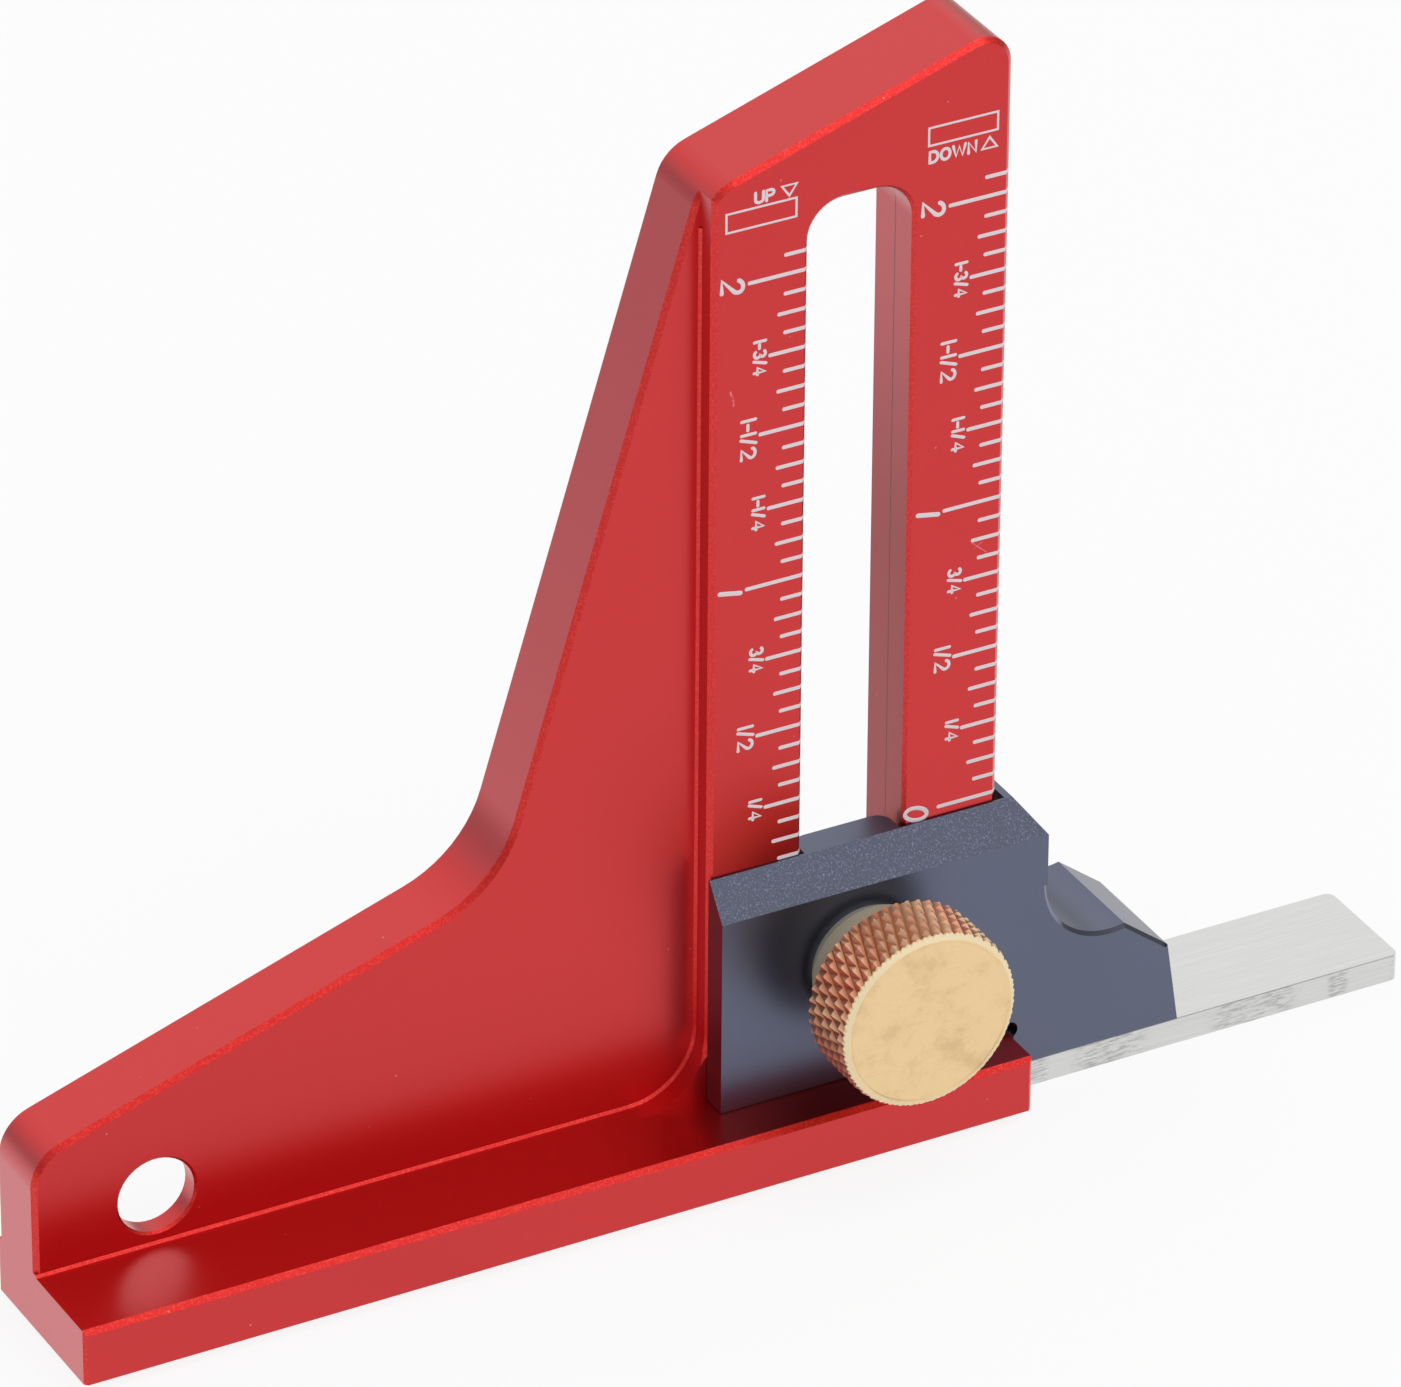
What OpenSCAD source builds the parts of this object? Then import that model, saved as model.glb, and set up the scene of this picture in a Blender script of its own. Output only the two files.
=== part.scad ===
/* [Base] */
// Length of the base along the measuring direction
base_length = 79.1; // [76:0.1:90]
// Depth of the base from its front face to the flat back
base_depth = 14.3; // [14.3:0.1:18]
// Height of the flange that the gauge stands on
flange_height = 4.64; // [4:0.1:6]
// Width of the chamfer on the front edges
edge_break = 0.4; // [0.2:0.02:0.6]

/* [Web and column] */
// How far the web's face stands behind the base's front face
web_face = 8.2; // [7.6:0.1:8.8]
// How far the column's face stands behind the base's front face
column_face = 6.35; // [6:0.05:6.6]
// Width of the column
column_width = 24.5; // [23:0.05:26]
// Height of the web at its low end, measured at the sharp corner
end_height = 14.57; // [13:0.1:17]
// Distance of the elbow from the low end
elbow_x = 38.1; // [34:0.1:42]
// Height of the elbow
elbow_height = 27.06; // [24:0.1:32]
// Height of the peak over the column's right side, measured at the sharp corner
peak_height = 89.35; // [87:0.05:96]
// Drop of the top from the peak to the shoulder over the column's left side
shoulder_drop = 8.05; // [7.5:0.05:9]
// Radius of the web's low corner
end_radius = 3.5; // [1.8:0.1:4.5]
// Radius inside the elbow
elbow_radius = 10; // [5:0.5:16]
// Radius of the shoulder
shoulder_radius = 3.5; // [1.8:0.1:5]
// Radius of the peak
peak_radius = 2.4; // [1.8:0.1:4]
// Radius of the pocket's lower corner
pocket_radius = 5.6; // [3:0.1:8]
// Width of the small cove round the foot of the pocket
pocket_cove = 0.2; // [0.2:0.05:0.8]

/* [Slot] */
// Width of the slot
slot_width = 8.64; // [7.6:0.02:9.6]
// Distance from the column's right side to the slot's middle
slot_inset = 12.37; // [11.6:0.01:13]
// Height of the slot's lower end above the flange
slot_foot = 2.4; // [1.5:0.1:4]
// Distance from the slot's upper end to the height of the peak
slot_head = 10.95; // [10.4:0.05:14]
// Radius of the slot's corners
slot_radius = 3; // [1:0.1:3.5]
// Thickness of the wall that the slot goes through
slot_land = 5.5; // [4.6:0.02:5.7]
// Width of the nut channel behind the slot
channel_width = 13; // [12:0.1:15]
// How far the nut channel runs past each end of the slot
channel_margin = 1.6; // [0.5:0.1:2]

/* [Hang hole] */
// Distance of the hang hole from the low end
hang_x = 9.96; // [9:0.02:12]
// Height of the hang hole
hang_height = 8.7; // [8.4:0.1:9.4]
// Diameter of the hang hole
hang_diameter = 6.2; // [4:0.1:7]
// Width of the chamfer on the hang hole's rim
hang_break = 0.2; // [0.1:0.05:0.4]
// Thickness of the wall that the hang hole goes through
hang_land = 1.65; // [1:0.05:3]
// Diameter of the recess behind the hang hole
hang_recess = 14.8; // [10:0.1:15.4]

/* [Slider] */
// Thickness of the slider's plate
plate_thickness = 2.2; // [1.8:0.05:2.8]
// Height of the slider's plate
slider_height = 19.28; // [18:0.02:24]
// Width of the bevels on the slider's top
slider_bevel = 2.05; // [1:0.05:2.1]
// Height of the bevels on the slider's top
slider_fall = 2.8; // [1.5:0.05:4]
// Thickness of the slider's wall beside the column
wall_thickness = 2.65; // [2.2:0.05:4]
// Gap between the column's right side and the slider's wall
wall_gap = 0.65; // [0.2:0.05:0.9]
// Reach of the arm's foot past the slider's wall gap
arm_reach = 14.4; // [13.6:0.1:18]
// Height of the arm's outer end
arm_end_height = 6.95; // [4:0.05:7.5]
// How far the arm's outer end leans in at its top
arm_lean = 1.05; // [0:0.05:2]
// Width of the slope on the arm's top
arm_slope = 3.75; // [3:0.05:4.2]
// Drop of the slope on the arm's top
arm_drop = 2.9; // [1:0.05:4]
// Radius of the finger cut
finger_radius = 5.65; // [4.8:0.05:6.2]
// Depth of the tongue that runs in the slot
tongue_depth = 2.35; // [1.5:0.05:4]
// Clearance on each side of the tongue
tongue_gap = 0.3; // [0.05:0.05:0.4]
// Height of the tongue's lower end above the slider's foot
tongue_foot = 4.5; // [4.3:0.1:5.6]
// Radius of the tongue's back edges
tongue_radius = 1.2; // [0.4:0.1:1.4]
// Radius of the relief in the slider's inner corner
relief_radius = 0.7; // [0.4:0.05:0.9]

/* [Measuring bar] */
// Length of the measuring bar
bar_length = 34.2; // [30:0.1:50]
// Thickness of the measuring bar
bar_thickness = 2.2; // [1.9:0.05:3]
// Height of the slider's reading edge above the bar's underside
reading_height = 24.78; // [24.4:0.01:25.4]
// Radius of the bar's outer corners
bar_corner = 0.7; // [0.2:0.1:2]
// Diameter of the bar's screws
screw_diameter = 3; // [2:0.1:3.4]
// Length of the bar's screws
screw_length = 7; // [5:0.5:8]
// Distance of the first screw from the bar's inner end
screw_inset = 4; // [3.4:0.1:4.6]
// Distance between the bar's screws
screw_pitch = 6.4; // [5.8:0.1:7]

/* [Clamp] */
// Diameter of the knob over its knurl
knob_diameter = 14.8; // [11:0.1:16]
// Length of the knob's knurled head
knob_length = 5.5; // [4.6:0.1:8]
// Width of the bevels on the knob's rims
knob_bevel = 0.35; // [0.1:0.05:0.8]
// Diameter of the knob's hub
hub_diameter = 10; // [7:0.1:12]
// Length of the knob's hub
hub_length = 3.7; // [2.8:0.1:5]
// Height of the knob's axis above the slider's foot
knob_height = 10.2; // [9.6:0.1:11]
// Diameter of the washer
washer_diameter = 9; // [8:0.1:12]
// Thickness of the washer
washer_thickness = 0.8; // [0.5:0.1:1.2]
// Diameter of the stud
stud_diameter = 5; // [4:0.1:5.4]
// Depth of the stud inside the knob
stud_hold = 7.2; // [5:0.1:8]
// Height of the clamp nut
nut_height = 10; // [8:0.1:12]
// Thickness of the clamp nut
nut_thickness = 1.8; // [1.6:0.1:2]

/* [Hidden] */
$fn = 96;

// Overrun of every cutting tool
over = 1;
// Overlap of the straight tools with the round ones
lap = 0.001;
// The same round the back, where the sides are cut after the corners
back_lap = 0.0025;
// Thin running clearance between faces that slide or seat on each other
slide_gap = 0.05;
// Radial clearance of a thread in its hole
thread_gap = 0.02;
// Radial clearance round the stud where it passes through
pass_gap = 0.3;
// Clearance on each side of the clamp nut in its channel
nut_gap = 0.2;
// How far the stud stands out behind the clamp nut
stud_tail = 0.35;
// Depth of the stud hole's point beyond the stud
drill_point = 0.8;
// Sideways lead of the shoulder's sharp corner past the column's left side
shoulder_lead = 0.05;
// How far round the pocket's corner the wall's chamfer has thinned out
fade_turn = 26;
// Length over which that chamfer thins out
fade_length = 1.7;
// Height of the countersunk head for a right-angled cone
head_share = 0.5;
// Head diameter of a countersunk screw as a share of its thread
head_width_share = 1.8;
// Depth of the socket as a share of the head's height
socket_depth_share = 0.8;
// Width of the socket as a share of the thread
socket_width_share = 0.66;
// Bevel of the washer's rim as a share of its thickness
washer_bevel_share = 0.25;
// Chamfer on the clamp nut as a share of its thickness
nut_bevel_share = 0.25;
// Chamfer of the front edges as a share of the body's chamfer
fine_share = 0.7;

shoulder_height = peak_height - shoulder_drop;
column_left = base_length - column_width;
shoulder_x = column_left - shoulder_lead;
slot_x = base_length - slot_inset;
slot_bottom = flange_height + slot_foot;
slot_top = peak_height - slot_head;
channel_floor = column_face + slot_land;
slider_back = column_face - slide_gap;
slider_front = slider_back - plate_thickness;
slider_foot = flange_height + slide_gap;
slider_top = slider_foot + slider_height;
wall_x = base_length + wall_gap;
slider_right = wall_x + wall_thickness;
bar_bottom = slider_top - reading_height;
bar_top = bar_bottom + bar_thickness;
bar_width = base_depth - slider_front;
arm_right = wall_x + arm_reach;
arm_end_top = bar_top + arm_end_height;
arm_end_x = arm_right - arm_lean;
slope_x = arm_end_x - arm_slope;
slope_top = arm_end_top + arm_drop;
finger_x = slider_right + finger_radius;
finger_z = slope_top + sqrt(pow(finger_radius, 2) - pow(slope_x - finger_x, 2));
tongue_width = slot_width - 2 * tongue_gap;
tongue_back = slider_back + tongue_depth;
axis_z = slider_foot + knob_height;
hub_back = slider_front - washer_thickness - slide_gap;
knob_back = hub_back - hub_length;
knob_face = knob_back - knob_length;
nut_front = channel_floor + slide_gap;
nut_back = nut_front + nut_thickness;
nut_width = channel_width - 2 * nut_gap;
stud_front = hub_back - stud_hold;
stud_back = nut_back + stud_tail;
screw_y = slider_front + bar_width / 2;
head_diameter = screw_diameter * head_width_share;
fine_break = edge_break * fine_share;

// Corners of the body's side view: along, up, radius
OUTLINE = [
    [0, 0, 0],
    [base_length, 0, 0],
    [base_length, peak_height, peak_radius],
    [shoulder_x, shoulder_height, shoulder_radius],
    [elbow_x, elbow_height, elbow_radius],
    [0, end_height, end_radius]
];

// Corners of the slot, with the material on the left of the path
SLOT = [
    [slot_x - slot_width / 2, slot_bottom, slot_radius],
    [slot_x - slot_width / 2, slot_top, slot_radius],
    [slot_x + slot_width / 2, slot_top, slot_radius],
    [slot_x + slot_width / 2, slot_bottom, slot_radius]
];

// Corners of the nut channel
CHANNEL = [
    [slot_x - channel_width / 2, slot_bottom - channel_margin, slot_radius],
    [slot_x - channel_width / 2, slot_top + channel_margin, slot_radius],
    [slot_x + channel_width / 2, slot_top + channel_margin, slot_radius],
    [slot_x + channel_width / 2, slot_bottom - channel_margin, slot_radius]
];

// Foot of the pocket: down the column's side, round the corner and along the flange
POCKET = [
    [column_left, shoulder_height - shoulder_radius, 0],
    [column_left, flange_height, pocket_radius],
    [-over, flange_height, 0]
];

// Geometry of a path of rounded corners
function flat(c) = [c[0], c[1]];
function way(a, b) = (flat(b) - flat(a)) / norm(flat(b) - flat(a));
function next_of(path, i) = path[(i + 1) % len(path)];
function prev_of(path, i) = path[(i + len(path) - 1) % len(path)];
function half_angle(path, i) = acos(way(path[i], prev_of(path, i)) * way(path[i], next_of(path, i))) / 2;
function reach(path, i) = path[i][2] / tan(half_angle(path, i));
function enter(path, i) = flat(path[i]) + way(path[i], prev_of(path, i)) * reach(path, i);
function leave(path, i) = flat(path[i]) + way(path[i], next_of(path, i)) * reach(path, i);
function turn_left(path, i) = let (
    a = way(prev_of(path, i), path[i]),
    b = way(path[i], next_of(path, i))
) a[0] * b[1] - a[1] * b[0] > 0;
function centre(path, i) = let (
    s = way(path[i], prev_of(path, i)) + way(path[i], next_of(path, i))
) flat(path[i]) + s / norm(s) * path[i][2] / sin(half_angle(path, i));
function bearing(v) = atan2(v[1], v[0]);

// Flat shape inside a closed path of rounded corners
module rounded(path) {
    difference() {
        union() {
            polygon([for (i = [0 : len(path) - 1]) each
                path[i][2] > 0 ? [enter(path, i), leave(path, i)] : [flat(path[i])]]);
            for (i = [0 : len(path) - 1])
                if (path[i][2] > 0 && turn_left(path, i))
                    translate(centre(path, i)) circle(r = path[i][2]);
        }
        for (i = [0 : len(path) - 1])
            if (path[i][2] > 0 && !turn_left(path, i))
                translate(centre(path, i)) circle(r = path[i][2]);
    }
}

// Profile carried along one straight side: profile x runs to the left of the way, y is height
module along(a, b, profile, spare = lap) {
    translate([a[0], a[1], 0])
        rotate([0, 0, bearing(b - a)])
            rotate([90, 0, 90])
                translate([0, 0, -spare])
                    linear_extrude(height = norm(b - a) + 2 * spare)
                        polygon(profile);
}

// Profile carried round corner i of a path
module round_corner(path, i, profile) {
    r = path[i][2];
    sweep = 180 - 2 * half_angle(path, i);
    lefthand = turn_left(path, i);
    from = lefthand ? enter(path, i) : leave(path, i);
    translate([centre(path, i)[0], centre(path, i)[1], 0])
        rotate([0, 0, bearing(from - centre(path, i))])
            rotate_extrude(angle = sweep)
                polygon([for (p = profile) [lefthand ? r - p[0] : r + p[0], p[1]]]);
}

// Profile carried along the straight sides of a path
module carry_straight(path, profile, closed = true, spare = lap) {
    last = len(path) - 1;
    for (i = [0 : closed ? last : last - 1])
        along(path[i][2] > 0 ? leave(path, i) : flat(path[i]),
            next_of(path, i)[2] > 0 ? enter(path, (i + 1) % len(path)) : flat(next_of(path, i)),
            profile, spare);
}

// Profile carried round the corners of a path
module carry_round(path, profile, closed = true) {
    last = len(path) - 1;
    for (i = [closed ? 0 : 1 : closed ? last : last - 1])
        if (path[i][2] > 0)
            round_corner(path, i, profile);
}

// Profile carried round a whole path, or from its first corner to its last when open
module carry(path, profile, closed = true) {
    carry_straight(path, profile, closed);
    carry_round(path, profile, closed);
}

// Section of a bevel tool on a face that looks forward, with its width in depth and its fall
function front_slope(depth, size, fall) = [
    [fall + over * fall / size, over - depth],
    [-over, over - depth],
    [-over, -depth - size - over * size / fall]
];

// Section of a chamfer tool on a face that looks forward, at the given depth
function front_break(depth, size) = front_slope(depth, size, size);

// Section of a chamfer tool on a face that looks back, at the given depth
function back_break(depth, size) = [
    [size + over, -depth - over],
    [-over, size + over - depth],
    [-over, -depth - over]
];

// Moves the corner that the sizes are counted from so that the origin is the middle of the underside
module placed() {
    translate([-base_length / 2, -base_depth / 2, 0]) children();
}

// Stands flat shapes up: drawn height becomes world height, drawn depth becomes minus world depth
module upright() {
    rotate([90, 0, 0]) children();
}

// Slab of a flat side view between two depths
module slab(front, back) {
    upright() translate([0, 0, -back]) linear_extrude(height = back - front) children();
}

// Straight pin along the depth, between two depths
module pin(x, z, d, front, back) {
    upright() translate([x, z, -back]) cylinder(d = d, h = back - front);
}

// Side view of the column with the fill in the pocket's corner
module column_view() {
    intersection() {
        rounded(OUTLINE);
        union() {
            translate([column_left, flange_height - over])
                square([column_width + over, peak_height]);
            difference() {
                translate([column_left - pocket_radius, flange_height - over])
                    square([pocket_radius + over, pocket_radius + over]);
                translate([column_left - pocket_radius, flange_height + pocket_radius])
                    circle(r = pocket_radius);
            }
        }
    }
}

// Chamfer tool round the top of the pocket's corner, thinning out to nothing
module pocket_fade() {
    lean = [1, edge_break / fade_length, -1];
    translate([column_left - pocket_radius, flange_height + pocket_radius, 0])
        mirror([0, 1, 0])
            intersection() {
                rotate_extrude(angle = fade_turn)
                    polygon([for (p = front_break(column_face, edge_break)) [pocket_radius + p[0], p[1]]]);
                rotate([0, 0, fade_turn])
                    translate([pocket_radius, 0, -column_face])
                        rotate([0, acos(lean[2] / norm(lean)), bearing(lean)])
                            translate([-pocket_radius, -pocket_radius, -2 * pocket_radius])
                                cube(2 * pocket_radius);
            }
}

module body() {
    color("firebrick") placed()
        difference() {
            union() {
                // Web behind the pocket, with a chamfer round its back that the flange fills below
                difference() {
                    difference() {
                        slab(web_face, base_depth) rounded(OUTLINE);
                        upright() carry_round(OUTLINE, back_break(base_depth, edge_break));
                    }
                    upright()
                        carry_straight(OUTLINE, back_break(base_depth, edge_break), spare = back_lap);
                    intersection() {
                        upright() carry(OUTLINE, front_break(web_face, edge_break));
                        translate([-over, 0, flange_height])
                            cube([column_left + over, base_depth, peak_height]);
                    }
                }
                // Column standing in front of the web
                difference() {
                    slab(column_face, web_face) column_view();
                    upright() carry(OUTLINE, front_break(column_face, edge_break));
                    // Chamfer down the pocket's side, thinning out round its corner
                    upright() along([column_left, peak_height], enter(POCKET, 1),
                        front_break(column_face, edge_break));
                    upright() pocket_fade();
                }
                // Cove round the foot of the pocket
                intersection() {
                    slab(0, base_depth) rounded(OUTLINE);
                    upright() carry(POCKET, [
                        [-pocket_cove, -web_face],
                        [0, pocket_cove - web_face],
                        [edge_break, pocket_cove - web_face],
                        [edge_break, -web_face - edge_break],
                        [-pocket_cove, -web_face - edge_break]
                    ], closed = false);
                }
                // Flange
                difference() {
                    cube([base_length, base_depth, flange_height]);
                    upright() along([base_length + over, flange_height], [-over, flange_height],
                        front_break(0, edge_break));
                    upright() along([0, flange_height + over], [0, -over], front_break(0, fine_break));
                    upright() along([base_length, -over], [base_length, flange_height + over],
                        front_break(0, fine_break));
                }
            }
            // Slot, its front chamfer and the nut channel behind it
            slab(column_face - over, base_depth + over) rounded(SLOT_LOOP);
            upright() carry(SLOT, front_break(column_face, fine_break));
            slab(channel_floor, base_depth + over) rounded(CHANNEL_LOOP);
            // Hang hole and the recess behind it
            pin(hang_x, hang_height, hang_diameter, web_face - over, base_depth + over);
            upright()
                translate([hang_x, hang_height, -web_face - hang_break])
                    cylinder(d1 = hang_diameter, d2 = hang_diameter + 4 * hang_break,
                        h = 2 * hang_break);
            pin(hang_x, hang_height, hang_recess, web_face + hang_land, base_depth + over);
        }
}

// The same loops turned the other way round, for filling
SLOT_LOOP = [for (i = [len(SLOT) - 1 : -1 : 0]) SLOT[i]];
CHANNEL_LOOP = [for (i = [len(CHANNEL) - 1 : -1 : 0]) CHANNEL[i]];

// Side view of the arm and the wall beside the column
module arm_view() {
    difference() {
        polygon([
            [wall_x, bar_top],
            [arm_right, bar_top],
            [arm_end_x, arm_end_top],
            [slope_x, slope_top],
            [finger_x, finger_z],
            [slider_right, finger_z],
            [slider_right, slider_top],
            [wall_x, slider_top]
        ]);
        translate([finger_x, finger_z]) circle(r = finger_radius);
    }
}

module slider() {
    finger_start = bearing([slope_x - finger_x, slope_top - finger_z]);
    bevel_rise = slider_fall / slider_bevel;
    color("slategray") placed()
        difference() {
            union() {
                slab(slider_front, slider_back)
                    translate([column_left, slider_foot])
                        square([slider_right - column_left, slider_height]);
                slab(slider_front, base_depth) arm_view();
                // Tongue in the slot
                translate([slot_x - tongue_width / 2, 0, slider_foot + tongue_foot])
                    linear_extrude(height = slider_height - tongue_foot)
                        union() {
                            translate([0, slider_back - slide_gap])
                                square([tongue_width, tongue_depth + slide_gap - tongue_radius]);
                            translate([tongue_radius, slider_back - slide_gap])
                                square([tongue_width - 2 * tongue_radius, tongue_depth + slide_gap]);
                            for (x = [tongue_radius, tongue_width - tongue_radius])
                                translate([x, tongue_back - tongue_radius]) circle(r = tongue_radius);
                        }
            }
            // Bevel along the top of the plate
            upright() along([slider_right + over, slider_top], [column_left - over, slider_top],
                front_slope(slider_front, slider_bevel, slider_fall));
            // Bevel down the top of the wall
            translate([0, slider_front - over, 0])
                rotate([-90, 0, 0])
                    linear_extrude(height = bar_width + 2 * over)
                        polygon([
                            [slider_right + over, slider_fall + over * bevel_rise - slider_top],
                            [slider_right + over, -slider_top - over],
                            [slider_right - slider_bevel - over / bevel_rise, -slider_top - over]
                        ]);
            // Chamfers along the front of the slope and the finger cut
            upright() along([arm_end_x, arm_end_top], [slope_x, slope_top],
                front_break(slider_front, fine_break));
            upright()
                translate([finger_x, finger_z, 0])
                    rotate([0, 0, 180])
                        rotate_extrude(angle = finger_start + 180)
                            polygon([for (p = front_break(slider_front, fine_break))
                                [finger_radius + p[0], p[1]]]);
            // Relief in the inner corner, over the base's top edge
            pin(wall_x - relief_radius + wall_gap / 2, slider_foot, 2 * relief_radius,
                slider_front - over, base_depth + over);
            // Clear hole for the stud
            pin(slot_x, axis_z, stud_diameter + 2 * pass_gap, slider_front - over, tongue_back + over);
            // Holes for the bar's screws
            for (i = [0, 1])
                translate([wall_x + screw_inset + i * screw_pitch, screw_y, bar_bottom])
                    cylinder(d = screw_diameter + 2 * thread_gap, h = screw_length + drill_point);
        }
}

module measuring_bar() {
    color("lightgray") placed()
        difference() {
            translate([wall_x, slider_front, bar_bottom])
                linear_extrude(height = bar_thickness)
                    union() {
                        square([bar_length - bar_corner, bar_width]);
                        translate([0, bar_corner])
                            square([bar_length, bar_width - 2 * bar_corner]);
                        for (y = [bar_corner, bar_width - bar_corner])
                            translate([bar_length - bar_corner, y]) circle(r = bar_corner);
                    }
            for (i = [0, 1])
                translate([wall_x + screw_inset + i * screw_pitch, screw_y, bar_bottom]) {
                    translate([0, 0, -over])
                        cylinder(d = screw_diameter + 2 * pass_gap, h = bar_thickness + 2 * over);
                    translate([0, 0, -over])
                        cylinder(d1 = head_diameter + 2 * (thread_gap + over), d2 = 2 * thread_gap,
                            h = head_diameter * head_share + over);
                }
        }
}

module bar_screws() {
    color("dimgray") placed()
        for (i = [0, 1])
            translate([wall_x + screw_inset + i * screw_pitch, screw_y, bar_bottom])
                difference() {
                    union() {
                        cylinder(d = screw_diameter, h = screw_length);
                        cylinder(d1 = head_diameter, d2 = screw_diameter,
                            h = (head_diameter - screw_diameter) * head_share);
                    }
                    translate([0, 0, -over])
                        cylinder(d = screw_diameter * socket_width_share,
                            h = head_diameter * head_share * socket_depth_share + over, $fn = 6);
                }
}

module clamp_knob() {
    color("goldenrod") placed()
        upright()
            translate([slot_x, axis_z, 0])
                rotate_extrude()
                    polygon([
                        [0, -knob_face],
                        [knob_diameter / 2 - knob_bevel, -knob_face],
                        [knob_diameter / 2, -knob_face - knob_bevel],
                        [knob_diameter / 2, -knob_back + knob_bevel],
                        [knob_diameter / 2 - knob_bevel, -knob_back],
                        [hub_diameter / 2, -knob_back],
                        [hub_diameter / 2, -hub_back],
                        [stud_diameter / 2 + thread_gap, -hub_back],
                        [stud_diameter / 2 + thread_gap, -stud_front],
                        [0, -stud_front + drill_point]
                    ]);
}

module clamp_stud() {
    color("silver") placed()
        pin(slot_x, axis_z, stud_diameter, stud_front, stud_back);
}

module clamp_washer() {
    bevel = washer_thickness * washer_bevel_share;
    color("gainsboro") placed()
        upright()
            translate([slot_x, axis_z, 0])
                rotate_extrude()
                    polygon([
                        [stud_diameter / 2 + pass_gap, -slider_front],
                        [washer_diameter / 2, -slider_front],
                        [washer_diameter / 2, -hub_back - slide_gap - bevel],
                        [washer_diameter / 2 - bevel, -hub_back - slide_gap],
                        [stud_diameter / 2 + pass_gap, -hub_back - slide_gap]
                    ]);
}

module clamp_nut() {
    bevel = nut_thickness * nut_bevel_share;
    color("peru") placed()
        difference() {
            translate([slot_x - nut_width / 2, nut_front, axis_z - nut_height / 2])
                cube([nut_width, nut_thickness, nut_height]);
            for (s = [-1, 1])
                translate([slot_x + s * nut_width / 2, nut_back, axis_z - nut_height / 2 - over])
                    rotate([0, 0, 45])
                        translate([-bevel, -bevel, 0] / sqrt(2))
                            cube([bevel * sqrt(2), bevel * sqrt(2), nut_height + 2 * over]);
            pin(slot_x, axis_z, stud_diameter + 2 * thread_gap, nut_front - over, nut_back + over);
        }
}

body();
slider();
measuring_bar();
bar_screws();
clamp_knob();
clamp_stud();
clamp_washer();
clamp_nut();
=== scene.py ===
"""Looks of a table saw height gauge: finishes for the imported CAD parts, the two printed scales,
the reading windows, the knurled clamp knob, the threaded stud, and a pale studio stage."""

import math

import bmesh
import bpy
from mathutils import Matrix, Vector


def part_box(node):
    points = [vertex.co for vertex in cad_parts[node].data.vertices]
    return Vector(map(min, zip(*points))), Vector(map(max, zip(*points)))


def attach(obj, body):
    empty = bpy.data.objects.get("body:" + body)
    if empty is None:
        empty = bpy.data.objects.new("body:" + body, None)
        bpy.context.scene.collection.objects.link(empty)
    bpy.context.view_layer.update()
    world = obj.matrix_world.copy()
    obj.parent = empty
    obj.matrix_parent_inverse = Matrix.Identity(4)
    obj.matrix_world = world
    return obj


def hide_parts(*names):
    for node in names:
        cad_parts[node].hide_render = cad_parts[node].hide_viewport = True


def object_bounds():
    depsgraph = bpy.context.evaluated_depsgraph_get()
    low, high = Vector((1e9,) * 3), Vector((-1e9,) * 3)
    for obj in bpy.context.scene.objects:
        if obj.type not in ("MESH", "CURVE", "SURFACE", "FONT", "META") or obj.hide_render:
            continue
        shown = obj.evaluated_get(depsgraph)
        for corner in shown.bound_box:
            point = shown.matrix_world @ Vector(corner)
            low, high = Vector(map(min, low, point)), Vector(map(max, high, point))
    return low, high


bl_info = {
    "name": "Height gauge dresser",
    "version": (1, 0, 0),
    "blender": (4, 5, 0),
    "location": "View3D > Sidebar > Gauge",
    "description": "Dresses the packed height gauge with its finishes, scales, signs and knurled knob",
    "category": "Object",
}

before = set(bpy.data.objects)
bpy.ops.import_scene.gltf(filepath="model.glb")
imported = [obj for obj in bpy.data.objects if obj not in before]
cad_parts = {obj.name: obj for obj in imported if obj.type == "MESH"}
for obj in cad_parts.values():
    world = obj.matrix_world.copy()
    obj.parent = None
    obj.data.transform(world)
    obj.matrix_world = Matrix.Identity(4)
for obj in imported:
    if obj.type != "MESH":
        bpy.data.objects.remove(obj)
cad_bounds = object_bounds()

# One millimetre, in the scene's metres
MM = 0.001
# Distance between the scales' lines
SIXTEENTH = 0.0254 / 16
# How many sixteenths lie between lines of each length, from the longest lines to the shortest
STEPS_OF_LINES = (16, 8, 4, 2, 1)
# Places nearer than this, in metres, are taken as one
CLOSE = 1e-6
# Lowest and highest corners of the parts that other pieces take their places from
BODY_LOW, BODY_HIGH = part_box("body")
KNOB_LOW, KNOB_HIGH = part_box("clamp_knob")
STUD_LOW, STUD_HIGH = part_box("clamp_stud")
BAR_LOW, BAR_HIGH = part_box("measuring_bar")
# Middle of the slot and of the clamp's axis, from side to side
AXIS_X = (KNOB_LOW.x + KNOB_HIGH.x) / 2
# Height of the clamp's axis
AXIS_Z = (KNOB_LOW.z + KNOB_HIGH.z) / 2
# Left end of the base, which the places of signs and wear are counted from
LEFT = BODY_LOW.x

# Wear on the front faces in millimetres: each mark's start and end, across from the base's left end and up,
# and half its width
WEAR_FROM_LEFT = (
    ((71.62, 73.62), (71.8, 73.72), 0.09),
    ((56.05, 64.9), (56.3, 64.3), 0.1),
    ((56.28, 64.35), (56.42, 63.5), 0.07),
    ((73.2, 55.68), (73.32, 55.74), 0.07),
    ((76.35, 46.95), (77.9, 45.55), 0.04),
    ((76.6, 46.2), (77.4, 46.7), 0.03),
)
# The same marks in the scene's millimetres
WEAR = [((start[0] + LEFT / MM, start[1]), (end[0] + LEFT / MM, end[1]), half)
        for start, end, half in WEAR_FROM_LEFT]
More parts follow.
